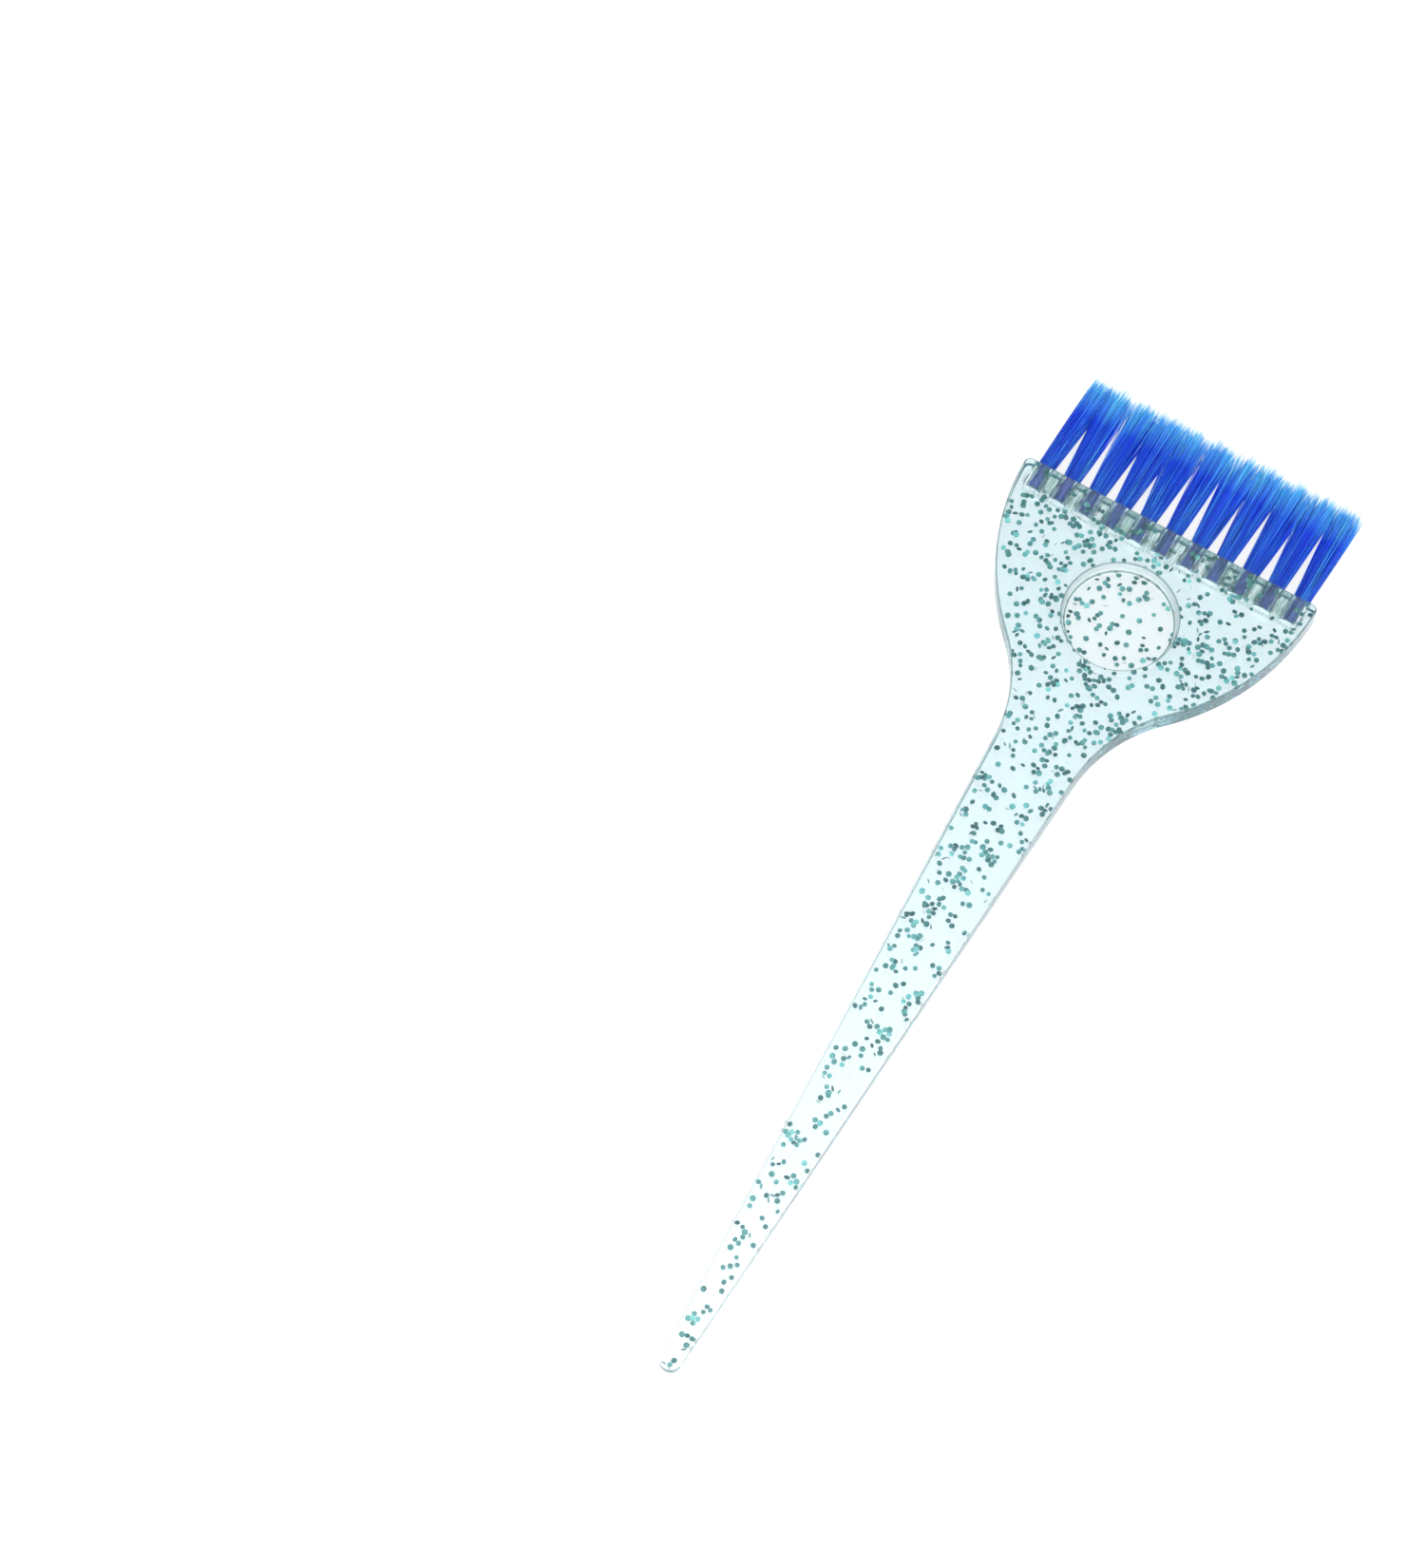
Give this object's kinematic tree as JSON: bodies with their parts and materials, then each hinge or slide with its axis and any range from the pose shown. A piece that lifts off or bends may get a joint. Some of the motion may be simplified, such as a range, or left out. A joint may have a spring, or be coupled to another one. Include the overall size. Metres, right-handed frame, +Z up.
{
  "type": "tint brush",
  "caption": "Flat hair colour brush: clear moulded handle widening into a fan-shaped head with a thumb recess and one row of blue bristle tufts.",
  "frame": {"origin": "under the middle of the whole brush, in the plane of its flat underside", "axes": "+Y from the handle's tip to the bristle tips, +Z up out of the face with the thumb recess, +X across the head"},
  "size_m": [0.0616, 0.205, 0.0052],
  "materials": {
    "clear_plastic": "clear, polished, with a faint blue-green tint and teal glitter moulded in",
    "blue_bristle": "straight royal blue nylon filaments, brighter at their tips",
    "staple_metal": "plain flat staple wire",
    "teal_glitter": "small metallic teal flakes set inside the clear plastic"
  },
  "bodies": {
    "root": {"handle_body": "clear_plastic", "tuft_01": "blue_bristle", "tuft_02": "blue_bristle", "tuft_03": "blue_bristle", "tuft_04": "blue_bristle", "tuft_05": "blue_bristle", "tuft_06": "blue_bristle", "tuft_07": "blue_bristle", "tuft_08": "blue_bristle", "tuft_09": "blue_bristle", "tuft_10": "blue_bristle", "tuft_11": "blue_bristle", "staple_01": "staple_metal", "staple_02": "staple_metal", "staple_03": "staple_metal", "staple_04": "staple_metal", "staple_05": "staple_metal", "staple_06": "staple_metal", "staple_07": "staple_metal", "staple_08": "staple_metal", "staple_09": "staple_metal", "staple_10": "staple_metal", "staple_11": "staple_metal"}
  },
  "joints": []
}
